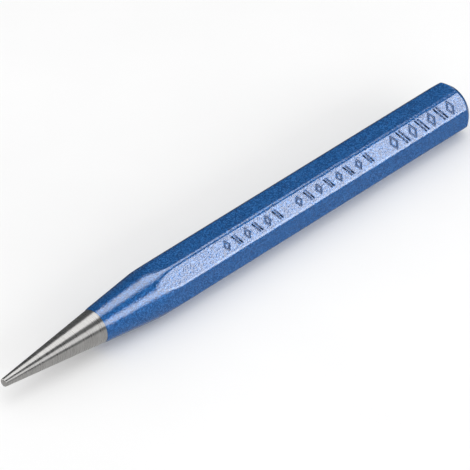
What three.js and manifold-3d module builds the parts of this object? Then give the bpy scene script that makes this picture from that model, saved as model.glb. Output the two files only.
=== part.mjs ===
// Center punch: an octagonal steel bar whose front is turned and ground to a long cone with a blunt nose.
// A thin lacquer film covers everything behind the ground point, and one flat carries stamped marks.
//
// Millimetres, +Z up. The punch lies on one flat with its axis along X, nose at -X and struck end at +X.
// The origin is on the surface that it rests on, under the middle of its length.

import * as THREE from "three";
import { mergeVertices } from "three/addons/utils/BufferGeometryUtils.js";
import Module from "manifold-3d";

const wasm = await Module();
wasm.setup();

// ---------------------------------------------------------------- driving dimensions

const overallLength = 120; // nose to struck face, lacquer included
const barAcrossFlats = 10; // octagonal steel stock, bare
const barCornerRadius = 0.9; // rounding along the eight corners of the stock
const noseDiameter = 1.65; // of the cone where it meets the flat nose, before the edge is rounded
const noseEdgeRadius = 0.3; // rounding between the flat nose and the cone
const coneAngle = 6.55; // between the cone's side and the axis, degrees
const runoutRadius = 80; // long curve that eases the cone into the corners of the stock
const runoutHeight = 0.05; // how far the top of that curve clears the corners
const bareLength = 23.4; // ground point left without lacquer
const chamferCut = 0.83; // what the turned head chamfer takes off each flat
const chamferAngle = 42.5; // between the chamfer and the axis, degrees
const headLength = 3.2; // struck end, left softer than the rest
const filmThickness = 0.08; // lacquer
const filmGap = 0.02; // clearance between the lacquer and the steel
const zoneGap = 0.02; // clearance where two zones of the bar meet

const markStroke = 0.34; // width of a stamped stroke, measured on the lacquer
const markDepth = 0.15; // of a stamped stroke
const hatchLean = 24; // of a slanted stroke from upright, degrees
const smallMark = { height: 2.2, width: 1.6, pitch: 2.7 };
const tallMark = { height: 3, width: 1.9, pitch: 2.6 };
const groupAfterTaper = 9; // from the taper's end to the first group of marks
const groupSpacing = 3; // between the first group and the second
const groupBeforeHead = 3.4; // from the last group to the struck face

// ---------------------------------------------------------------- worked out from them

const filmTotal = filmGap + filmThickness;
const steelLength = overallLength - filmTotal;
const flatDistance = barAcrossFlats / 2;
const axisHeight = flatDistance + filmTotal;
const cone = THREE.MathUtils.degToRad(coneAngle);
const chamfer = THREE.MathUtils.degToRad(chamferAngle);
const clearRadius = barAcrossFlats; // well outside the stock, for cutting tools
const cornerCentre = (flatDistance - barCornerRadius) / Math.cos(Math.PI / 8);
const crestRadius = cornerCentre + barCornerRadius + runoutHeight;
const runoutStart = crestRadius - runoutRadius * (1 - Math.cos(cone));
const coneLength = (runoutStart - noseDiameter / 2) / Math.tan(cone);
const crestAt = coneLength + runoutRadius * Math.sin(cone);

const firstGroup = { start: crestAt + groupAfterTaper, count: 6, mark: smallMark };
const firstGroupEnd = firstGroup.start + firstGroup.count * smallMark.pitch;
const secondGroup = { start: firstGroupEnd + groupSpacing, count: 8, mark: smallMark };
const lastCount = 7;
const lastStart = overallLength - groupBeforeHead - lastCount * tallMark.pitch;
const markGroups = [firstGroup, secondGroup, { start: lastStart, count: lastCount, mark: tallMark }];

const coneSegments = 64;
const cornerSegments = 3;
const noseSegments = 5;
const runoutSegments = 6;

// ---------------------------------------------------------------- geometry to solid and back

function toSolid(geometry) {
  const bare = new THREE.BufferGeometry();
  const source = geometry.index ? geometry.toNonIndexed() : geometry;
  bare.setAttribute("position", source.getAttribute("position"));
  const merged = mergeVertices(bare, 1e-5);
  return new wasm.Manifold(
    new wasm.Mesh({
      numProp: 3,
      vertProperties: merged.attributes.position.array,
      triVerts: new Uint32Array(merged.index.array),
    }),
  );
}

function toGeometry(solid) {
  const mesh = solid.getMesh();
  const shared = new THREE.BufferGeometry();
  shared.setAttribute("position", new THREE.BufferAttribute(mesh.vertProperties, mesh.numProp));
  shared.setIndex(new THREE.BufferAttribute(mesh.triVerts, 1));
  const geometry = shared.toNonIndexed();
  geometry.computeVertexNormals();
  return geometry;
}

// ---------------------------------------------------------------- the bar, at any offset from bare steel

// The octagonal stock along X, its flats moved outwards by the offset.
function stock(offset) {
  const radius = barCornerRadius + offset;
  const outline = new THREE.Shape();
  for (let corner = 0; corner < 8; corner += 1) {
    const middle = ((corner + 0.5) * Math.PI) / 4;
    const x = cornerCentre * Math.cos(middle);
    const y = cornerCentre * Math.sin(middle);
    outline.absarc(x, y, radius, middle - Math.PI / 8, middle + Math.PI / 8, false);
  }
  outline.closePath();
  const length = overallLength + 2 * clearRadius;
  const bar = new THREE.ExtrudeGeometry(outline, {
    depth: length,
    bevelEnabled: false,
    curveSegments: cornerSegments,
    steps: 1,
  });
  bar.translate(0, 0, -clearRadius);
  bar.rotateY(Math.PI / 2);
  return toSolid(bar);
}

// Everything the lathe leaves: flat nose with a rounded edge, cone, run-out curve, and the chamfer at the
// head. The offset moves each of them outwards along its own normal, so the arcs keep their centres.
function turnedEnvelope(offset) {
  const edgeCentre = noseDiameter / 2 + noseEdgeRadius * (Math.tan(cone) - 1 / Math.cos(cone));
  const edgeRadius = noseEdgeRadius + offset;
  const profile = [new THREE.Vector2(0, -offset)];
  for (let step = 0; step <= noseSegments; step += 1) {
    const angle = (step / noseSegments) * (Math.PI / 2 - cone);
    const r = edgeCentre + edgeRadius * Math.sin(angle);
    profile.push(new THREE.Vector2(r, noseEdgeRadius - edgeRadius * Math.cos(angle)));
  }
  const curveRadius = runoutRadius + offset;
  for (let step = 0; step <= runoutSegments; step += 1) {
    const angle = cone * (1 - step / runoutSegments);
    const r = crestRadius + offset - curveRadius * (1 - Math.cos(angle));
    profile.push(new THREE.Vector2(r, crestAt - curveRadius * Math.sin(angle)));
  }
  const endRadius = flatDistance - chamferCut - offset * Math.tan(chamfer) + offset / Math.cos(chamfer);
  const endAt = steelLength + offset;
  const chamferStart = endAt - (clearRadius - endRadius) / Math.tan(chamfer);
  profile.push(new THREE.Vector2(clearRadius, crestAt + clearRadius));
  profile.push(new THREE.Vector2(clearRadius, chamferStart));
  profile.push(new THREE.Vector2(endRadius, endAt));
  profile.push(new THREE.Vector2(0, endAt));
  const turned = new THREE.LatheGeometry(profile, coneSegments);
  turned.rotateZ(-Math.PI / 2);
  return toSolid(turned);
}

// ---------------------------------------------------------------- stamped marks

// A lozenge outline, as a ring between two rhombuses. Grow widens the stroke on both sides.
function lozengeOutline(x, halfWidth, halfHeight, grow) {
  const across = (halfWidth * halfHeight) / Math.hypot(halfWidth, halfHeight);
  const half = markStroke / 2 + grow;
  const rhombus = (path, scale) => {
    path.moveTo(x + halfWidth * scale, 0);
    path.lineTo(x, halfHeight * scale);
    path.lineTo(x - halfWidth * scale, 0);
    path.lineTo(x, -halfHeight * scale);
    path.closePath();
    return path;
  };
  const ring = rhombus(new THREE.Shape(), 1 + half / across);
  ring.holes.push(rhombus(new THREE.Path(), 1 - half / across));
  return ring;
}

// A slanted stroke, as a parallelogram with level ends.
function slantedStroke(x, height, grow) {
  const lean = THREE.MathUtils.degToRad(hatchLean);
  const rise = height / 2 + grow;
  const half = (markStroke / 2 + grow) / Math.cos(lean);
  const shift = rise * Math.tan(lean);
  const stroke = new THREE.Shape();
  stroke.moveTo(x - shift - half, -rise);
  stroke.lineTo(x - shift + half, -rise);
  stroke.lineTo(x + shift + half, rise);
  stroke.lineTo(x + shift - half, rise);
  stroke.closePath();
  return stroke;
}

// Every mark as one cutter. Lozenges and pairs of slanted strokes take turns along each group.
function markCutters(offset) {
  const grow = filmTotal - offset;
  const outlines = [];
  for (const { start, count, mark } of markGroups) {
    for (let index = 0; index < count; index += 1) {
      const x = start + (index + 0.5) * mark.pitch;
      const halfHeight = (mark.height - markStroke) / 2;
      const halfWidth = (mark.width - markStroke) / 2;
      if (index % 2 === 0) {
        outlines.push(lozengeOutline(x, halfWidth, halfHeight, grow));
      } else {
        outlines.push(slantedStroke(x - halfWidth / 2, mark.height, grow));
        outlines.push(slantedStroke(x + halfWidth / 2, mark.height, grow));
      }
    }
  }
  const floor = flatDistance + offset - markDepth;
  const cutters = outlines.map((outline) => {
    const tool = new THREE.ExtrudeGeometry(outline, { depth: clearRadius, bevelEnabled: false, steps: 1 });
    tool.translate(0, 0, floor);
    tool.rotateX(Math.PI / 4);
    return toSolid(tool);
  });
  return cutters.reduce((joined, cutter) => joined.add(cutter));
}

// The whole bar at an offset: stock and turned envelope in common, less the marks.
function barAt(offset) {
  return stock(offset).intersect(turnedEnvelope(offset)).subtract(markCutters(offset));
}

// ---------------------------------------------------------------- zones along the bar

// A block that keeps what lies between two stations along the bar.
function slab(from, to) {
  const block = new THREE.BoxGeometry(to - from, 2 * clearRadius, 2 * clearRadius);
  block.translate((from + to) / 2, 0, 0);
  return toSolid(block);
}

const beyond = overallLength + clearRadius;
const headStart = steelLength - headLength;
const steel = barAt(0);
const lining = barAt(filmGap);
const lacquered = barAt(filmTotal).subtract(lining).intersect(slab(bareLength, beyond));

const bareSteel = { color: 0xa9a7a3, roughness: 0.35, metalness: 1 };
const blueLacquer = { color: 0x2f5f9e, roughness: 0.3, metalness: 0.4 };

const pieces = [
  { name: "point", solid: steel.intersect(slab(-clearRadius, bareLength - zoneGap)), finish: bareSteel },
  { name: "taper", solid: steel.intersect(slab(bareLength, crestAt - zoneGap)), finish: bareSteel },
  { name: "shank", solid: steel.intersect(slab(crestAt, headStart - zoneGap)), finish: bareSteel },
  { name: "head", solid: steel.intersect(slab(headStart, beyond)), finish: bareSteel },
  { name: "lacquer_coat", solid: lacquered, finish: blueLacquer },
];

// ---------------------------------------------------------------- the part

const punch = new THREE.Group();
punch.position.set(-overallLength / 2, 0, axisHeight);
for (const { name, solid, finish } of pieces) {
  const mesh = new THREE.Mesh(toGeometry(solid), new THREE.MeshStandardMaterial(finish));
  mesh.name = name;
  punch.add(mesh);
}

export default punch;
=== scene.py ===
# %% [markdown]
# # A lacquered octagonal punch
#
# This lesson builds the looks of a hand-struck punch around its finished engineering model. The real tool is
# one steel bar. Its front is turned to a long cone, the last stretch of the cone is ground bare, and the rest
# is dipped in a blue metallic lacquer. There are two surfaces to make: the ground point and the lacquer skin.
# The steel under the lacquer keeps its engineering shape, and only gets a finish.

# %% Load the frame
import math

import bpy
import numpy as np
from mathutils import Matrix, Vector


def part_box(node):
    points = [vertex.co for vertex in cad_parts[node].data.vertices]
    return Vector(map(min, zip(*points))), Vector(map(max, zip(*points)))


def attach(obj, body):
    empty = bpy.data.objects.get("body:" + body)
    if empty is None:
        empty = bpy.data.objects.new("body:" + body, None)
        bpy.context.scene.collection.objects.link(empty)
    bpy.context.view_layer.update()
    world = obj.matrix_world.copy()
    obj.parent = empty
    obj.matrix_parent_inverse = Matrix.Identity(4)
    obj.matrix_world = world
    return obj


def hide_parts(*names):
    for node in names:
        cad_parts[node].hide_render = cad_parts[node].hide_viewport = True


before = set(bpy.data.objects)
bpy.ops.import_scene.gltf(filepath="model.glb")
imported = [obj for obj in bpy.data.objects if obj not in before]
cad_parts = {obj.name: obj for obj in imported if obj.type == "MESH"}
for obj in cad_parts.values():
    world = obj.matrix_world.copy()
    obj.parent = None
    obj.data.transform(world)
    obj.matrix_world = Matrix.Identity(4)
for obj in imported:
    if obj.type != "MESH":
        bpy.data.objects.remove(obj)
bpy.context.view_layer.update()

print("pieces in the frame:", sorted(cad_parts))

# %% [markdown]
# ## Sizes
#
# Lengths are worked out in millimetres, because a maker thinks in them, and become metres when a mesh is
# made. What the frame can tell is read from the boxes of its nodes: the stock's width, the film, the cone and
# where each zone ends. The few radii that a box can't tell are named here.

# %% Read the sizes
MM = 0.001


def box_mm(node):
    """Lowest and highest corner of a node of the frame, in millimetres."""
    low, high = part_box(node)
    return np.array(low) / MM, np.array(high) / MM


point_low, point_high = box_mm("point")
shank_low, shank_high = box_mm("shank")
film_low, film_high = box_mm("lacquer_coat")

nose_x = point_low[0]
axis_z = (film_low[2] + film_high[2]) / 2
flat_distance = (shank_high[2] - shank_low[2]) / 2
film_total = (film_high[2] - film_low[2]) / 2 - flat_distance
bare_length = film_low[0] - nose_x
steel_length = film_high[0] - film_total - nose_x
crest_at = shank_low[0] - nose_x

NOSE_RADIUS = 0.825      # of the cone where it meets the flat nose
NOSE_EDGE = 0.3          # rounding round the flat nose
CORNER_RADIUS = 0.9      # rounding along the eight corners of the steel stock
RUNOUT_RADIUS = 80.0     # the long curve that eases the cone into the corners
RUNOUT_HEIGHT = 0.05     # how far the top of that curve clears the corners
CHAMFER_CUT = 0.83       # what the head's chamfer takes off each flat
CHAMFER_ANGLE = math.radians(42.5)
FILM = 0.08              # lacquer

wide_radius = (point_high[2] - point_low[2]) / 2
cone_slope = (wide_radius - NOSE_RADIUS) / (point_high[0] - nose_x)
cone_angle = math.atan(cone_slope)
corner_centre = (flat_distance - CORNER_RADIUS) / math.cos(math.pi / 8)
corner_reach = corner_centre + CORNER_RADIUS
crest_radius = corner_reach + RUNOUT_HEIGHT
print(f"cone {math.degrees(cone_angle):.2f} degrees a side, film {film_total:.2f} mm")
print(f"steel {steel_length:.1f} mm long")

# %% [markdown]
# ## The two shapes that make the bar
#
# A turned octagonal bar is what two simple shapes have in common: the rolled stock, whose section is an
# octagon with rounded corners, and the turned envelope, a round profile along the axis. Each is a radius: the
# stock's depends on the angle round the axis, the envelope's on the place along it. The smaller one wins. A
# boolean cut would give the same body with razor edges. A minimum that is blended over a few hundredths of a
# millimetre gives the soft scallops that tumbling and lacquer leave on a real one.

# %% Stock, envelope and blended minimum
FACE_STEP = math.pi / 4


def stock_radius(angle, offset):
    """Radius of the octagonal stock at an angle round the axis. On a flat it is the flat's distance over the
    cosine of the angle from the flat's middle. Near a corner it is where the ray leaves the corner's
    circle."""
    from_middle = np.abs((angle + FACE_STEP / 2) % FACE_STEP - FACE_STEP / 2)
    from_corner = FACE_STEP / 2 - from_middle
    radius = CORNER_RADIUS + offset
    half_flat = (flat_distance - CORNER_RADIUS) * math.tan(math.pi / 8)
    on_flat = (flat_distance + offset) / np.cos(from_middle)
    inside = np.maximum(radius**2 - (corner_centre * np.sin(from_corner)) ** 2, 0)
    on_corner = corner_centre * np.cos(from_corner) + np.sqrt(inside)
    return np.where(np.tan(from_middle) * (flat_distance + offset) < half_flat, on_flat, on_corner)


def envelope_radius(along, offset):
    """Radius of the turned shape at a distance from the nose: the cone's straight line, then a long circular
    arc up to the crest, then the crest's own radius, and at the head the chamfer's falling line."""
    cone = NOSE_RADIUS + cone_slope * along + offset / math.cos(cone_angle)
    curve = RUNOUT_RADIUS + offset
    back = np.clip(crest_at - along, 0, curve * math.sin(cone_angle))
    runout = crest_radius + offset - curve + np.sqrt(curve**2 - back**2)
    body = np.where(crest_at - along > curve * math.sin(cone_angle), cone, runout)
    rise = math.tan(CHAMFER_ANGLE) * (steel_length - along) + offset / math.cos(CHAMFER_ANGLE)
    return np.minimum(body, flat_distance - CHAMFER_CUT + rise)


def soft_minimum(a, b, blend):
    """The smaller of a and b, rounded off where they are within the blend of each other: the overlap squared
    is taken away, which joins the two with a parabola."""
    overlap = np.maximum(blend - np.abs(a - b), 0) / blend
    return np.minimum(a, b) - overlap**2 * blend / 4


print(f"stock {2 * flat_distance:.1f} mm across flats, corners at {corner_reach:.2f} mm radius")

# %% [markdown]
# ## From a grid to a closed mesh
#
# Every surface here is a stack of rings along the axis. Neighbouring rings are joined with four-sided faces,
# and an end is closed with a fan of triangles round a pole. The arrays go into the mesh in one call each. A
# loop over vertices would take a hundred times longer and say less.

# %% Mesh helpers
def ring_quads(index):
    """Four-sided faces between neighbouring rings of vertex numbers, shaped rings by lines by 4. The last
    line is joined to the first."""
    beside = np.roll(index, -1, axis=1)
    return np.stack([index[:-1], beside[:-1], beside[1:], index[1:]], axis=-1)


def fan(tip, ring, turned=False):
    """Triangles from a pole to a ring of vertex numbers, turned round where the pole comes first."""
    triangles = np.stack([np.full(len(ring), tip), ring, np.roll(ring, -1)], axis=-1)
    return triangles[:, ::-1] if turned else triangles


def make_piece(name, points, faces):
    """A piece from points in millimetres and arrays of faces, each with one row for a face."""
    corners = np.concatenate([block.ravel() for block in faces]).astype(np.int32)
    sizes = np.concatenate([np.full(len(block), block.shape[1]) for block in faces])
    mesh = bpy.data.meshes.new(name)
    mesh.vertices.add(len(points))
    mesh.vertices.foreach_set("co", (points * MM).astype(np.float32).ravel())
    mesh.loops.add(len(corners))
    mesh.loops.foreach_set("vertex_index", corners)
    mesh.polygons.add(len(sizes))
    mesh.polygons.foreach_set("loop_start", (np.cumsum(sizes) - sizes).astype(np.int32))
    mesh.polygons.foreach_set("use_smooth", np.ones(len(sizes), bool))
    mesh.update(calc_edges=True)
    mesh.validate()
    piece = bpy.data.objects.new(name, mesh)
    bpy.context.scene.collection.objects.link(piece)
    print(f"{name}: {(sizes - 2).sum()} triangles")
    return piece


def around_axis(along, radius, angle):
    """Points at a distance from the nose, a radius and an angle. The angle turns from straight up towards the
    front, so the front upper flat is in the middle at 45 degrees."""
    shape = np.broadcast_shapes(np.shape(along), np.shape(radius), np.shape(angle))
    x = np.broadcast_to(nose_x + along, shape)
    y = np.broadcast_to(-radius * np.sin(angle), shape)
    z = np.broadcast_to(axis_z + radius * np.cos(angle), shape)
    return np.stack([x, y, z], axis=-1)


# %% [markdown]
# ## The ground point
#
# The last stretch before the nose is bare steel, ground on a wheel while the bar turns, with a small flat
# nose whose edge is broken by a touch of the stone. A lathe profile describes it fully, so the surface is
# that profile turned round the axis.

# %% Build the ground point
POINT_SIDES = 96
EDGE_STEPS = 8
CONE_STEPS = 64
CREASE = 0.015           # between two rings that keep an edge crisp under smooth shading
NOSE_SHARES = np.array([0.35, 0.75])     # rings on the flat nose, as shares of its radius
END_SHARES = np.array([0.97, 0.6])       # rings on the flat end against the taper

edge_centre = NOSE_RADIUS + NOSE_EDGE * (math.tan(cone_angle) - 1 / math.cos(cone_angle))
edge_turn = np.linspace(0, math.pi / 2 - cone_angle, EDGE_STEPS)
edge_along = NOSE_EDGE * (1 - np.cos(edge_turn))
edge_radius = edge_centre + NOSE_EDGE * np.sin(edge_turn)
cone_end = point_high[0] - nose_x
cone_along = np.append(np.linspace(edge_along[-1], cone_end - CREASE, CONE_STEPS)[1:], cone_end)
cone_radius = NOSE_RADIUS + cone_slope * cone_along
flat_radius = edge_centre * NOSE_SHARES
end_radius = wide_radius * END_SHARES

profile_along = np.concatenate([0 * flat_radius, edge_along, cone_along, np.full(2, cone_along[-1])])
profile_radius = np.concatenate([flat_radius, edge_radius, cone_radius, end_radius])
turn = np.linspace(0, 2 * math.pi, POINT_SIDES, endpoint=False)
point_rings = around_axis(profile_along[:, None], profile_radius[:, None], turn[None, :])
poles = [[nose_x, 0, axis_z], [nose_x + cone_along[-1], 0, axis_z]]
point_index = np.arange(point_rings[..., 0].size).reshape(point_rings.shape[:2])
ground_point = make_piece(
    "ground_point",
    np.vstack([point_rings.reshape(-1, 3), poles]),
    [
        ring_quads(point_index).reshape(-1, 4),
        fan(point_index.size, point_index[0], turned=True),
        fan(point_index.size + 1, point_index[-1]),
    ],
)
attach(ground_point, "root")
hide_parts("point")

# %% [markdown]
# ## Where the stamped marks go
#
# One flat of the shank carries three groups of stamped marks: two of small marks and one of tall ones before
# the head. Each group takes turns between a lozenge outline and a pair of slanted strokes. They are laid out
# from the taper's end and from the head, as a stamping jig would hold them.

# %% Lay out the marks
STROKE = 0.34            # width of a stroke
MARK_DEPTH = 0.15
HATCH_LEAN = math.tan(math.radians(24))      # of a slanted stroke from upright
SMALL = {"height": 2.2, "width": 1.6, "pitch": 2.7}
TALL = {"height": 3.0, "width": 1.9, "pitch": 2.6}
COUNTS = (6, 8, 7)       # marks in each group
AFTER_TAPER = 9.0
BETWEEN_GROUPS = 3.0
BEFORE_HEAD = 3.4

overall_length = steel_length + film_total
first_start = crest_at + AFTER_TAPER
second_start = first_start + COUNTS[0] * SMALL["pitch"] + BETWEEN_GROUPS
last_start = overall_length - BEFORE_HEAD - COUNTS[2] * TALL["pitch"]
groups = zip((first_start, second_start, last_start), COUNTS, (SMALL, SMALL, TALL))

marks = [
    {
        "at": start + (number + 0.5) * size["pitch"],
        "half_height": (size["height"] - STROKE) / 2,
        "half_width": (size["width"] - STROKE) / 2,
        "lozenge": number % 2 == 0,
    }
    for start, count, size in groups
    for number in range(count)
]
print(f"{len(marks)} marks, from {marks[0]['at']:.1f} to {marks[-1]['at']:.1f} mm behind the nose")

# %% [markdown]
# ## How a stamp moves the metal
#
# A stamp pushes a rounded groove into the flat, and the metal that it moves stands up as a faint lip on both
# sides. The lacquer then softens both. So a stroke isn't a cut with walls: it is a depth that depends only on
# the distance to the stroke's centre line. One function finds that distance for all strokes, and another
# turns it into depth.

# %% Distance to the strokes, and the depth that follows
def segment_distance(x, y, start, end):
    """Distance from points to a straight stroke: the point's place along the stroke is limited to its ends,
    and the distance is measured from there."""
    ax, ay = start
    dx, dy = end[0] - ax, end[1] - ay
    place = np.clip(((x - ax) * dx + (y - ay) * dy) / (dx * dx + dy * dy), 0, 1)
    return np.hypot(x - ax - place * dx, y - ay - place * dy)


def mark_distance(mark, x, y):
    """Distance to the nearest centre line of one mark. A lozenge is the same in its four quarters, so its
    outline is one stroke in the first quarter."""
    x = x - mark["at"]
    wide, high = mark["half_width"], mark["half_height"]
    if mark["lozenge"]:
        return segment_distance(np.abs(x), np.abs(y), (wide, 0), (0, high))
    lean = high * HATCH_LEAN
    left = segment_distance(x, y, (-wide / 2 - lean, -high), (-wide / 2 + lean, high))
    right = segment_distance(x, y, (wide / 2 - lean, -high), (wide / 2 + lean, high))
    return np.minimum(left, right)


def smooth_step(low, high, value):
    """0 below low, 1 above high, and the curve 3t^2 - 2t^3 between them."""
    t = np.clip((value - low) / (high - low), 0, 1)
    return t * t * (3 - 2 * t)


GROOVE_FLOOR = 0.07      # half the width of the flat floor
GROOVE_SIDE = 0.2        # half the width at the top
LIP_HEIGHT = 0.01
LIP_REACH = 0.26         # from the centre line to the top of the lip
LIP_WIDTH = 0.05


def stamp_depth(distance):
    """Depth of the groove at a distance from the centre line: full on the floor, falling to nothing at the
    side, and a bell-shaped lip of a hundredth of a millimetre just outside."""
    groove = MARK_DEPTH * (1 - smooth_step(GROOVE_FLOOR, GROOVE_SIDE, distance))
    lip = LIP_HEIGHT * np.exp(-(((distance - LIP_REACH) / LIP_WIDTH) ** 2))
    return groove - lip


print(f"a stroke is {2 * GROOVE_SIDE:.2f} mm wide at the top and {2 * GROOVE_FLOOR:.2f} mm on its floor")

# %% [markdown]
# ## Where the grid needs lines
#
# A grid's lines are put where the shape changes. Round the axis, the stamped flat gets a line every 0.085 mm,
# each rounded corner three, and the plain flats a few, with two close to their corners so that the shading
# stays flat between them. Along the axis, the straight cone needs few rings, and the scallops where cone and
# flats meet need many. A mark only needs a ring before it and one after it, because the flat between those
# two is later swapped for a finer patch.

# %% Lines round the axis
STAMPED = math.pi / 4    # the stamped flat's angle, halfway from the top to the front
CORNER_SEGMENTS = 4
STAMPED_STEP = 0.085
PLAIN_PLACES = np.array([-1, -0.95, -0.65, -0.22, 0.22, 0.65, 0.95, 1])  # shares of a flat's half width

flat_outside = flat_distance + film_total
flat_half = (flat_distance - CORNER_RADIUS) * math.tan(math.pi / 8)
tangent_turn = math.atan(flat_half / flat_outside)
corner_turn = np.linspace(tangent_turn, FACE_STEP - tangent_turn, CORNER_SEGMENTS + 1)[1:-1]
plain_turn = np.arctan(PLAIN_PLACES * flat_half / flat_outside)
stamped_places = np.linspace(-flat_half, flat_half, round(2 * flat_half / STAMPED_STEP) + 1)
stamped_turn = STAMPED + np.arctan(stamped_places / flat_outside)

turns = [stamped_turn, STAMPED + corner_turn]
for face in range(1, 8):
    middle = STAMPED + face * FACE_STEP
    turns += [middle + plain_turn, middle + corner_turn]
skin_turn = np.concatenate(turns)
print(f"{len(skin_turn)} lines round the axis, {len(stamped_turn)} of them on the stamped flat")

# %% Rings along the axis
CONE_STEP = 1.5
SCALLOP_STEP = 0.22
HEAD_STEPS = 16
RIM_CLEAR = 1.2          # from the lacquer line to the first plain ring
SCALLOP_BEFORE = 2.0     # fine rings start this far before the run-out curve
SCALLOP_AFTER = 1.0      # and end this far behind its crest
HEAD_MARGIN = 0.5        # fine rings start this far before the chamfer
PATCH_MARGIN = 0.5       # on both sides of a mark's centre lines
STRUCK_EDGE = 0.22       # rounding between the chamfer and the struck face

patch_ends = np.array([
    [mark["at"] - mark["half_width"] - PATCH_MARGIN, mark["at"] + mark["half_width"] + PATCH_MARGIN]
    for mark in marks
])
scallop_start = crest_at - RUNOUT_RADIUS * math.sin(cone_angle) - SCALLOP_BEFORE
cone_rings = np.arange(bare_length + RIM_CLEAR, scallop_start, CONE_STEP)
scallop_rings = np.arange(scallop_start, crest_at + SCALLOP_AFTER, SCALLOP_STEP)
chamfer_start = steel_length - (crest_radius - flat_distance + CHAMFER_CUT) / math.tan(CHAMFER_ANGLE)
head_rings = np.linspace(chamfer_start - HEAD_MARGIN, overall_length - STRUCK_EDGE, HEAD_STEPS)
body_rings = np.concatenate([cone_rings, scallop_rings, patch_ends.ravel(), head_rings])
print(f"{len(body_rings)} rings along the bar")

# %% [markdown]
# ## The lacquer skin
#
# Lacquer is a film, so the skin is a closed shell with an outside, an inside 0.08 mm below it, a feathered
# rim at the masked line, and a struck face. It could be a copy of the bar with a Solidify modifier. Working
# out both sides from the same two radii is more exact, because every surface then moves along its own
# normal, just as a film of even thickness does.

# %% One side of the film
BLEND = 0.08             # how softly flats and turned surfaces run into each other
RIM_LENGTH = 0.9         # over which the film thickens from the lacquer line
RIM_RINGS = 7
EDGE_TURNS = 6
EDGE_DRAW = 0.4          # how far the struck edge is drawn in, as a share of its rounding
FACE_RINGS = 6
RING_GAP = 0.03          # least distance from the last plain ring to the struck edge
FAR_FROM_MARKS = 9.0     # the distance kept where no stroke is near
MARK_SEARCH = 1.0        # from a mark's centre lines


def bar_surface(along, envelope, turn, offset):
    """Points of the bar at an offset from bare steel, for every place along it and every angle: the blended
    minimum of stock and envelope, then the stamped flat pressed in along its own normal by the depth of the
    marks. Also gives the distance to the nearest stroke."""
    radius = soft_minimum(stock_radius(turn[None, :], offset), envelope[:, None], BLEND)
    points = around_axis(along[:, None], radius, turn[None, :])
    across = radius * np.sin(turn[None, :] - STAMPED)
    facing = np.cos(turn[None, :] - STAMPED) > math.cos(math.pi / 8)
    grid_along = np.broadcast_to(along[:, None], radius.shape)
    distance = np.full(radius.shape, FAR_FROM_MARKS)
    for mark in marks:
        near = facing & (np.abs(grid_along - mark["at"]) < mark["half_width"] + MARK_SEARCH)
        distance[near] = np.minimum(distance[near], mark_distance(mark, grid_along[near], across[near]))
    normal = np.array([0, -math.sin(STAMPED), math.cos(STAMPED)])
    return points - stamp_depth(distance)[..., None] * normal, distance


def struck_end(offset):
    """Profile of the head's end as places along the axis and radii: a quarter turn from the chamfer to the
    struck face, then the face itself, drawn in towards the axis."""
    end_at = steel_length + offset
    turn = np.linspace(0, math.pi / 2, EDGE_TURNS)
    along = end_at - STRUCK_EDGE * np.cos(turn) ** 2
    radius = envelope_radius(along, offset) - EDGE_DRAW * STRUCK_EDGE * (1 - np.cos(turn)) ** 2
    face = np.linspace(radius[-1], 0, FACE_RINGS + 1)[1:-1]
    return np.append(along, np.full(len(face), end_at)), np.append(radius, face)


def side(offset):
    """Places and envelope radii of one side's rings, from the lacquer line to the struck face."""
    end_along, end_radius = struck_end(offset)
    body = body_rings[body_rings < end_along[0] - RING_GAP]
    return np.append(body, end_along), np.append(envelope_radius(body, offset), end_radius)


def rim():
    """Rings of the feathered rim at the lacquer line, from the steel outwards: the film thickens by the
    smooth curve 3t^2 - 2t^3. The first two rings lie close together to keep the edge crisp."""
    share = np.append(0, np.linspace(CREASE / RIM_LENGTH, 1, RIM_RINGS))
    along = bare_length + RIM_LENGTH * share
    lift = film_total - FILM * (1 - smooth_step(0, 1, share))
    rings = envelope_radius(along, 0) + lift / math.cos(cone_angle)
    return around_axis(along[:, None], rings[:, None], skin_turn[None, :])


rim_rings = rim()
outer_along, outer_envelope = side(film_total)
inner_along, inner_envelope = side(film_total - FILM)
print(f"outside {len(outer_along)} rings, inside {len(inner_along)} rings")

# %% [markdown]
# ## Finer patches for the marks
#
# A stroke is a third of a millimetre wide, so it needs points every 0.05 mm. The whole grid at that step
# would have a million faces. So between the two rings round a mark, the stamped flat is left out of the grid
# and a finer patch takes its place. Its ends share the rings' own points. Its long sides have extra points on
# a straight edge, and the face beside each long side takes them in as one many-sided face, so the shell stays
# closed.

# %% Patches
OUTER_ROWS = 48          # along a mark
INNER_ROWS = 20


def patches(index, along, offset, rows, first_number):
    """Points, strokes' distances and faces of the patches on one side. Index holds the vertex numbers of that
    side's rings, and new numbers start at the first number. Returns also which quads the patches replace."""
    lines = len(stamped_turn)
    replaced = np.zeros((len(index) - 1, index.shape[1]), bool)
    points, distances, quads, beside = [], [], [], []
    for ends in patch_ends:
        ring = min(np.argmin(np.abs(along - ends[0])), np.argmin(np.abs(along - ends[1])))
        replaced[ring, :lines] = True
        replaced[ring, -1] = True
        fine_along = np.linspace(along[ring], along[ring + 1], rows + 1)[1:-1]
        fine, distance = bar_surface(fine_along, envelope_radius(fine_along, offset), stamped_turn, offset)
        start = first_number + len(points) * distance.size
        numbers = start + np.arange(distance.size).reshape(distance.shape)
        numbers = np.vstack([index[ring, :lines], numbers, index[ring + 1, :lines]])
        quads.append(np.stack([numbers[:-1, :-1], numbers[:-1, 1:], numbers[1:, 1:], numbers[1:, :-1]], -1))
        low_side = np.concatenate([[index[ring, -1]], numbers[:, 0], [index[ring + 1, -1]]])
        high_side = np.concatenate([[index[ring + 1, lines]], numbers[::-1, -1], [index[ring, lines]]])
        beside += [low_side, high_side]
        points.append(fine.reshape(-1, 3))
        distances.append(distance.ravel())
    faces = [np.concatenate([block.reshape(-1, 4) for block in quads]), np.array(beside)]
    return np.concatenate(points), np.concatenate(distances), faces, replaced


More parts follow.
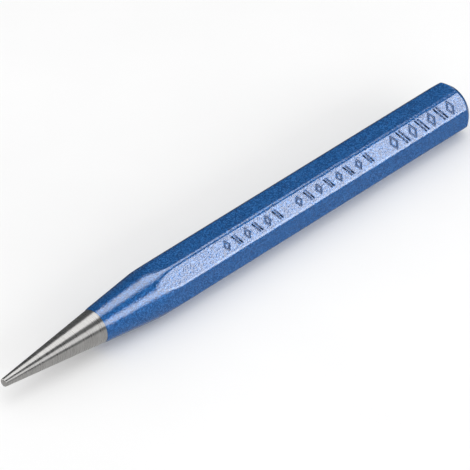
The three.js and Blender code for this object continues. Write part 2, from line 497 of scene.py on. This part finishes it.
# %% Build the lacquer skin
outside, outside_distance = bar_surface(outer_along, outer_envelope, skin_turn, film_total)
inside, inside_distance = bar_surface(inner_along, inner_envelope, skin_turn, film_total - FILM)
skin_rings = np.concatenate([inside[::-1], rim_rings, outside])
skin_index = np.arange(skin_rings[..., 0].size).reshape(skin_rings.shape[:2])
outside_index = skin_index[-len(outside):]
inside_index = skin_index[:len(inside)]
inside_patches = patches(
    inside_index, inner_along[::-1], film_total - FILM, INNER_ROWS, skin_index.size
)
outside_patches = patches(
    outside_index, outer_along, film_total, OUTER_ROWS, skin_index.size + len(inside_patches[0])
)
skin_quads = ring_quads(skin_index)
kept = np.ones(skin_quads.shape[:2], bool)
kept[:len(inside) - 1] = ~inside_patches[3]
kept[-len(outside) + 1:] = ~outside_patches[3]
skin_poles = [[nose_x + steel_length + film_total - FILM, 0, axis_z], [nose_x + overall_length, 0, axis_z]]
skin_points = np.vstack([skin_rings.reshape(-1, 3), inside_patches[0], outside_patches[0], skin_poles])
lacquer_skin = make_piece(
    "lacquer_skin",
    skin_points,
    [
        skin_quads[kept],
        *inside_patches[2],
        *outside_patches[2],
        fan(len(skin_points) - 2, skin_index[0], turned=True),
        fan(len(skin_points) - 1, skin_index[-1]),
    ],
)
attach(lacquer_skin, "root")
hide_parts("lacquer_coat")

# %% [markdown]
# Wet lacquer runs off the edges of a stroke and gathers on its floor, so the strokes look darker than the
# flat. The finish needs to know where they are. The distance that shaped each point says so, and it is kept
# on the mesh as an attribute from 0 on the flat to 1 on the floor.

# %% Keep the strokes on the mesh
def pooled(distance):
    """Share of pooled lacquer: 1 on a stroke's floor, falling to 0 at its side."""
    return 1 - smooth_step(GROOVE_FLOOR, GROOVE_SIDE, distance)


no_rim = np.zeros(rim_rings[..., 0].size)
stroke_values = np.concatenate([
    pooled(inside_distance)[::-1].ravel(),
    no_rim,
    pooled(outside_distance).ravel(),
    pooled(inside_patches[1]),
    pooled(outside_patches[1]),
    [0, 0],
]).astype(np.float32)
stroke = lacquer_skin.data.attributes.new("stroke", "FLOAT", "POINT")
stroke.data.foreach_set("value", stroke_values)
print(f"{(stroke_values > 0.5).sum()} points lie in a stroke")

# %% [markdown]
# ## Finishes as small node graphs
#
# Each finish is one Principled shader with a few patterns behind its sockets. Small helpers keep the graphs
# readable: each adds one kind of node and hands back its socket. All patterns read Object coordinates, which
# are metres here, so a pattern's scale of 1000 means one feature a millimetre.

# %% Node helpers
PER_MM = 1000


def add_node(tree, kind, inputs=None, **settings):
    """A shader node with its settings. Its inputs go by name or by number, and each is a value or a socket to
    link from."""
    made = tree.nodes.new(kind)
    for name, value in settings.items():
        setattr(made, name, value)
    for name, value in (inputs or {}).items():
        if isinstance(value, bpy.types.NodeSocket):
            tree.links.new(value, made.inputs[name])
        else:
            made.inputs[name].default_value = value
    return made


def new_finish(name):
    """An empty material with an output, and its tree and the Object coordinates."""
    material = bpy.data.materials.new(name)
    material.use_nodes = True
    tree = material.node_tree
    tree.nodes.clear()
    coordinates = add_node(tree, "ShaderNodeTexCoord")
    return material, tree, coordinates.outputs["Object"]


def stretched(tree, coordinates, along, across):
    """Coordinates scaled to so many features a millimetre along the bar and across it."""
    scale = (along * PER_MM, across * PER_MM, across * PER_MM)
    return add_node(tree, "ShaderNodeMapping", {"Vector": coordinates, "Scale": scale}).outputs["Vector"]


def noise(tree, vector, detail=2.0, roughness=0.5):
    """Soft random values between 0 and 1."""
    inputs = {"Vector": vector, "Scale": 1.0, "Detail": detail, "Roughness": roughness}
    return add_node(tree, "ShaderNodeTexNoise", inputs).outputs["Fac"]


def spread(tree, value, low, high, to_low, to_high):
    """A value's range mapped to another range, and held at its ends."""
    inputs = {"Value": value, "From Min": low, "From Max": high, "To Min": to_low, "To Max": to_high}
    return add_node(tree, "ShaderNodeMapRange", inputs).outputs["Result"]


def tones(tree, value, stops):
    """A colour ramp: places from 0 to 1 with their colours."""
    ramp = add_node(tree, "ShaderNodeValToRGB", {"Fac": value})
    points = ramp.color_ramp.elements
    while len(points) < len(stops):
        points.new(0.5)
    for point, (place, colour) in zip(points, stops):
        point.position = place
        point.color = (*colour, 1)
    return ramp.outputs["Color"]


FACTOR = 0               # numbers of a Mix node's sockets for colours
FIRST_COLOUR = 6
SECOND_COLOUR = 7
MIXED_COLOUR = 2


def blend_colours(tree, share, first, second):
    """Two colours mixed by a share. A Mix node's sockets share their names, so they go by number."""
    mixer = add_node(tree, "ShaderNodeMix", {FACTOR: share, FIRST_COLOUR: first}, data_type="RGBA")
    mixer.inputs[SECOND_COLOUR].default_value = second
    return mixer.outputs[MIXED_COLOUR]


def bumped(tree, height, distance, strength, below=None):
    """A normal bent by a height. Another bump can lie below it."""
    inputs = {"Height": height, "Distance": distance * MM, "Strength": strength}
    if below is not None:
        inputs["Normal"] = below
    return add_node(tree, "ShaderNodeBump", inputs).outputs["Normal"]


def finish_with(tree, inputs):
    """The Principled shader that ends a finish."""
    shader = add_node(tree, "ShaderNodeBsdfPrincipled", inputs)
    add_node(tree, "ShaderNodeOutputMaterial", {"Surface": shader.outputs["BSDF"]})


# %% [markdown]
# ## Ground steel
#
# A wheel that runs across a turning bar leaves fine rings. They do two things to the look: they show as
# thin lines of slightly different tone, and they spread a reflection lengthwise while it stays narrow round
# the cone. The lines are a noise that changes fast along the bar and slowly round it. The spread is the
# shader's anisotropy, with a tangent that runs round the bar and is turned a quarter.

# %% Ground steel for the point
def ground_steel():
    """Bare ground steel with ring-shaped grinding lines, small tone changes and a few brown specks."""
    material, tree, place = new_finish("ground_steel")
    rings = noise(tree, stretched(tree, place, 6, 0.25), detail=4, roughness=0.65)
    broad = noise(tree, stretched(tree, place, 0.9, 0.3), detail=2)
    specks = noise(tree, stretched(tree, place, 2.5, 1.2), detail=3, roughness=0.7)
    dark, light = (0.50, 0.492, 0.48), (0.86, 0.85, 0.835)
    warm, brown = (0.78, 0.76, 0.73, 1), (0.24, 0.18, 0.13, 1)
    base = tones(tree, rings, [(0.25, dark), (0.75, light)])
    shaded = blend_colours(tree, spread(tree, broad, 0.35, 0.65, 0, 0.35), base, warm)
    stained = blend_colours(tree, spread(tree, specks, 0.68, 0.8, 0, 0.5), shaded, brown)
    tangent = add_node(tree, "ShaderNodeTangent", direction_type="RADIAL", axis="X")
    finish_with(tree, {
        "Base Color": stained,
        "Metallic": 1.0,
        "Roughness": spread(tree, rings, 0.2, 0.8, 0.24, 0.34),
        "Anisotropic": 0.75,
        "Anisotropic Rotation": 0.25,
        "Tangent": tangent.outputs["Tangent"],
        "Normal": bumped(tree, rings, 0.01, 0.35),
    })
    return material


# %% [markdown]
# ## Turned steel
#
# The zones under the lacquer are never seen on a new tool, but a worn one shows them. They are turned, so
# they have coarser rings than the ground point, and hardening has left them a little darker.

# %% Turned steel under the lacquer
def turned_steel():
    """Hardened steel with coarse turning rings and a faint scale."""
    material, tree, place = new_finish("turned_steel")
    rings = noise(tree, stretched(tree, place, 3, 0.1), detail=3, roughness=0.6)
    scale = noise(tree, stretched(tree, place, 0.5, 0.5), detail=4)
    dark, light, burnt = (0.22, 0.215, 0.21), (0.36, 0.35, 0.34), (0.13, 0.12, 0.12, 1)
    base = tones(tree, rings, [(0.3, dark), (0.7, light)])
    scaled = blend_colours(tree, spread(tree, scale, 0.45, 0.7, 0, 0.5), base, burnt)
    finish_with(tree, {
        "Base Color": scaled,
        "Metallic": 1.0,
        "Roughness": spread(tree, rings, 0.2, 0.8, 0.3, 0.5),
        "Normal": bumped(tree, rings, 0.02, 0.3),
    })
    return material


# %% [markdown]
# ## Blue metallic lacquer
#
# The lacquer is a clear coat with fine aluminium flakes and blue pigment in it. Close up it isn't smooth:
# it has an orange peel, ripples about half a millimetre wide that a dipped or sprayed film keeps when it
# dries. So the finish has two layers. The coat carries the ripples and gives the glossy reflections. The
# layer under it is partly metallic, and tiny cells, each with its own height and tone, stand for the flakes.
# Lacquer gathers in the strokes, so the tone also follows the stroke attribute.

# %% Blue lacquer for the skin
def blue_lacquer():
    """Metallic blue lacquer: flakes and pigment below, a rippled clear coat above, darker where it pools."""
    material, tree, place = new_finish("blue_lacquer")
    peel = noise(tree, stretched(tree, place, 2.2, 2.2), detail=2, roughness=0.6)
    cloud = noise(tree, stretched(tree, place, 0.16, 0.16), detail=3)
    cells = stretched(tree, place, 5.2, 5.2)
    flakes = add_node(tree, "ShaderNodeTexVoronoi", {"Vector": cells, "Scale": 1.0})
    flake = add_node(tree, "ShaderNodeSeparateColor", {"Color": flakes.outputs["Color"]}).outputs["Red"]
    deep, middle, bright = (0.001, 0.034, 0.125), (0.005, 0.070, 0.232), (0.024, 0.142, 0.395)
    thick = (0.006, 0.026, 0.085, 1)
    pigment = tones(tree, flake, [(0.0, deep), (0.55, middle), (1.0, bright)])
    sparkled = blend_colours(tree, spread(tree, cloud, 0.35, 0.65, 0, 0.25), pigment, (*middle, 1))
    groove = add_node(tree, "ShaderNodeAttribute", attribute_name="stroke").outputs["Fac"]
    stamped = blend_colours(tree, spread(tree, groove, 0.1, 1.0, 0, 0.75), sparkled, thick)
    glitter = bumped(tree, flake, 0.02, 0.25)
    finish_with(tree, {
        "Base Color": stamped,
        "Metallic": spread(tree, flake, 0.5, 1.0, 0.02, 0.3),
        "Roughness": spread(tree, flake, 0.0, 1.0, 0.36, 0.48),
        "Specular IOR Level": 0.0,
        "Coat Weight": 1.0,
        "Coat Roughness": 0.16,
        "Coat IOR": 1.6,
        "Normal": bumped(tree, peel, 0.05, 0.6, below=glitter),
        "Coat Normal": bumped(tree, peel, 0.05, 1.0),
    })
    return material


# %% Put the finishes on
def give(piece, material):
    """The piece takes one material."""
    piece.data.materials.clear()
    piece.data.materials.append(material)


give(ground_point, ground_steel())
give(lacquer_skin, blue_lacquer())
turned = turned_steel()
for node in ("taper", "shank", "head"):
    give(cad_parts[node], turned)
print("finishes:", [material.name for material in bpy.data.materials])

# %% [markdown]
# ## The bench top
#
# A plain pale sheet for the tool to lie on. It is made wide, because a long lens looks across it from far
# away. A faint unevenness in its tone keeps it from looking like a void. A white sheet would drown the blue
# in its own reflection, so the tool gets a grey card to mirror, and a dark one behind it that draws its upper
# edge. Both cards lie just under the tool, and only reflections see them.

# %% Floor and cards
FLOOR_HALF = 6.0         # metres, as are the next four
FLOOR_DROP = 0.00002
WIDE = (-FLOOR_HALF, FLOOR_HALF)
CARD_ALONG = (-0.05, 0.5)      # from just behind the nose, so that the nose doesn't mirror the dark card
CARD_BEHIND = (0.001, 0.12)
WHITE = 0.87
GREY = 0.52
DARK = 0.03
UNEVENNESS = 0.03


def sheet(name, tone, along=WIDE, behind=WIDE, drop=FLOOR_DROP):
    """A flat sheet just under the tool, in a matt grey with a very faint cloud in it, sizes in metres."""
    mesh = bpy.data.meshes.new(name)
    (left, right), (near, far) = along, behind
    corners = [(left, near, -drop), (right, near, -drop), (right, far, -drop), (left, far, -drop)]
    mesh.from_pydata(corners, [], [(0, 1, 2, 3)])
    made = bpy.data.objects.new(name, mesh)
    bpy.context.scene.collection.objects.link(made)
    material, tree, place = new_finish(name)
    cloud = noise(tree, stretched(tree, place, 0.02, 0.02), detail=3)
    base = tones(tree, cloud, [(0.3, (tone,) * 3), (0.7, (tone + UNEVENNESS,) * 3)])
    finish_with(tree, {"Base Color": base, "Roughness": 0.9, "Specular IOR Level": 0.1})
    give(made, material)
    return made


floor = sheet("floor", WHITE)
floor.visible_glossy = False
grey_card = sheet("grey_card", GREY)
dark_card = sheet("dark_card", DARK, CARD_ALONG, CARD_BEHIND, FLOOR_DROP / 2)
for card in (grey_card, dark_card):
    card.visible_camera = False
    card.visible_diffuse = False
    card.visible_shadow = False
print("the floor is", 2 * FLOOR_HALF, "m wide")

# %% [markdown]
# ## Light
#
# Metal and gloss show their surroundings, so the light is planned from the reflections. Seen from the
# camera, each line along the bar mirrors one direction round it. Long softboxes over the bar and in front of
# it give the two bright bands on the cone, and the dark gap between them draws its roundness. Two more, far
# to the right, are mirrored by the stamped flat and by the corner under it. Lacquer mirrors weakly and
# steel strongly, so each has softboxes of its own, which reach nothing else. All are kept off the matt
# surfaces.

# %% Softbox helpers
REACH = 0.6              # from the tool to the near softboxes, in metres
FAR = 1.2                # and to the far ones
tool_axis = Vector((0, 0, axis_z * MM))


def softbox(name, turn, middle, length, width, radiance, distance=REACH):
    """A rectangular light that faces the bar, with its middle, length, width and distance in metres. Turn is
    the angle round the bar from straight up towards the front, in degrees. Power is radiance times area
    times pi, because a flat light sends its radiance into a half space."""
    angle = math.radians(turn)
    outward = Vector((0, -math.sin(angle), math.cos(angle)))
    lamp = bpy.data.lights.new(name, "AREA")
    lamp.shape = "RECTANGLE"
    lamp.size = length
    lamp.size_y = width
    lamp.energy = radiance * length * width * math.pi
    light = bpy.data.objects.new(name, lamp)
    along = Vector((1, 0, 0))
    axes = Matrix((along, outward.cross(along), outward)).transposed().to_4x4()
    light.matrix_world = Matrix.Translation(tool_axis + along * middle + outward * distance) @ axes
    light.visible_camera = False
    bpy.context.scene.collection.objects.link(light)
    return light


def mirrored_by(piece, light):
    """The light shows in this piece's reflections, and lights neither matt surfaces nor other pieces."""
    light.visible_diffuse = False
    group = bpy.data.collections.new(f"{light.name}_reaches")
    group.objects.link(piece)
    light.light_linking.receiver_collection = group


# %% Softboxes for the lacquer and for the steel
mirrored_by(lacquer_skin, softbox("upper_band_lacquer", -9, 0.18, 0.46, 0.43, 5.6))
mirrored_by(lacquer_skin, softbox("front_band_taper", 63, 0.15, 0.42, 0.31, 6.6))
mirrored_by(lacquer_skin, softbox("front_band_flats", 49.5, 0.86, 0.4, 0.44, 9.3, distance=FAR))
mirrored_by(lacquer_skin, softbox("corner_line", 74, 0.84, 0.28, 0.65, 12.0, distance=FAR - 0.02))
mirrored_by(ground_point, softbox("upper_band_steel", -14, 0.2, 0.8, 0.55, 1.02))
mirrored_by(ground_point, softbox("front_band_steel", 57, 0.2, 0.8, 0.33, 0.76))
print(len(bpy.data.lights), "softboxes that only reflections see")

# %% [markdown]
# The tool is also looked at from its other sides, where those softboxes don't show. Dim cards to the left
# and to the right, behind it, over it and in front of it, give the flats something to mirror there.

# %% Cards for the other sides
CARD_WIDTH = 0.5
CARD_TURNS = (-62, 0, 62)
CARD_PLACES = {"near": (-0.5, 0.6), "far": (0.9, 0.5)}       # middle and length

for name, (middle, length) in CARD_PLACES.items():
    for turn in CARD_TURNS:
        for piece, radiance in ((lacquer_skin, 1.8), (ground_point, 1.2)):
            card_name = f"{name}_card_{turn + 90}_{piece.name}"
            mirrored_by(piece, softbox(card_name, turn, middle, length, CARD_WIDTH, radiance))
print(len(bpy.data.lights), "with the dim cards")

# %% [markdown]
# Matt surfaces need light too: the bench top, and the pigment in the lacquer. Two large softboxes that make
# no reflections give them an even tone, with a soft shadow under the tool. The room round everything is
# pale. In reflections it is almost dark, because a white room would lie over the blue like a veil.

# %% Even light and the room
for light in (
    softbox("key", 15, -0.1, 1.6, 1.6, 0.66, distance=1.5),
    softbox("fill", 80, 0.0, 1.6, 0.9, 2.6, distance=1.2),
):
    light.visible_glossy = False

world = bpy.data.worlds.new("studio")
world.use_nodes = True
room = world.node_tree
room.nodes.clear()
pale = add_node(room, "ShaderNodeBackground", {"Color": (1.0, 1.0, 1.0, 1), "Strength": 0.85})
dim = add_node(room, "ShaderNodeBackground", {"Color": (0.9, 0.94, 1.0, 1), "Strength": 0.07})
ray = add_node(room, "ShaderNodeLightPath")
seen = add_node(room, "ShaderNodeMixShader", {
    "Fac": ray.outputs["Is Glossy Ray"],
    1: pale.outputs["Background"],
    2: dim.outputs["Background"],
})
add_node(room, "ShaderNodeOutputWorld", {"Surface": seen.outputs["Shader"]})
bpy.context.scene.world = world
bpy.context.scene.view_settings.view_transform = "Standard"

# %% [markdown]
# ## The camera
#
# A long lens from above and from the nose's side. It is placed from the nose: the bar is tilted away from
# the image plane, slopes across it, and is rolled a little, and the nose lies at a known distance. Those few
# numbers give the camera's three axes, and its place follows.

# %% Camera
SENSOR = 36.0            # millimetres, as is the next
LENS = 467.1
TILT = 0.56088           # between the bar and the image plane, in radians, as are the next two
SLOPE = -0.55385         # of the bar in the image
ROLL = 0.03589           # of the stamped flat about the bar
NOSE_FROM_CAMERA = Vector((-43.289, 27.666, 1138.67)) * MM    # right, down and forward, in metres
CLIP_START = 0.05
CLIP_END = 20.0

flat_normal = Vector((0, -math.sqrt(0.5), math.sqrt(0.5)))
flat_down = Vector((0, -math.sqrt(0.5), -math.sqrt(0.5)))
facing = math.cos(ROLL) * flat_normal - math.sin(ROLL) * flat_down
beside = math.sin(ROLL) * flat_normal + math.cos(ROLL) * flat_down
along_bar = Vector((1, 0, 0))
in_image = math.cos(TILT) * along_bar + math.sin(TILT) * facing
right = math.cos(SLOPE) * in_image - math.sin(SLOPE) * beside
down = math.sin(SLOPE) * in_image + math.cos(SLOPE) * beside
forward = math.sin(TILT) * along_bar - math.cos(TILT) * facing

nose = Vector((nose_x, 0, axis_z)) * MM
lens = bpy.data.cameras.new("camera")
lens.lens = LENS
lens.sensor_width = SENSOR
lens.clip_start = CLIP_START
lens.clip_end = CLIP_END
camera = bpy.data.objects.new("camera", lens)
place = nose - NOSE_FROM_CAMERA.x * right - NOSE_FROM_CAMERA.y * down - NOSE_FROM_CAMERA.z * forward
camera.matrix_world = Matrix.Translation(place) @ Matrix((right, -down, -forward)).transposed().to_4x4()
bpy.context.scene.collection.objects.link(camera)
bpy.context.scene.camera = camera
print(f"the camera is {place.length:.2f} m from the tool")
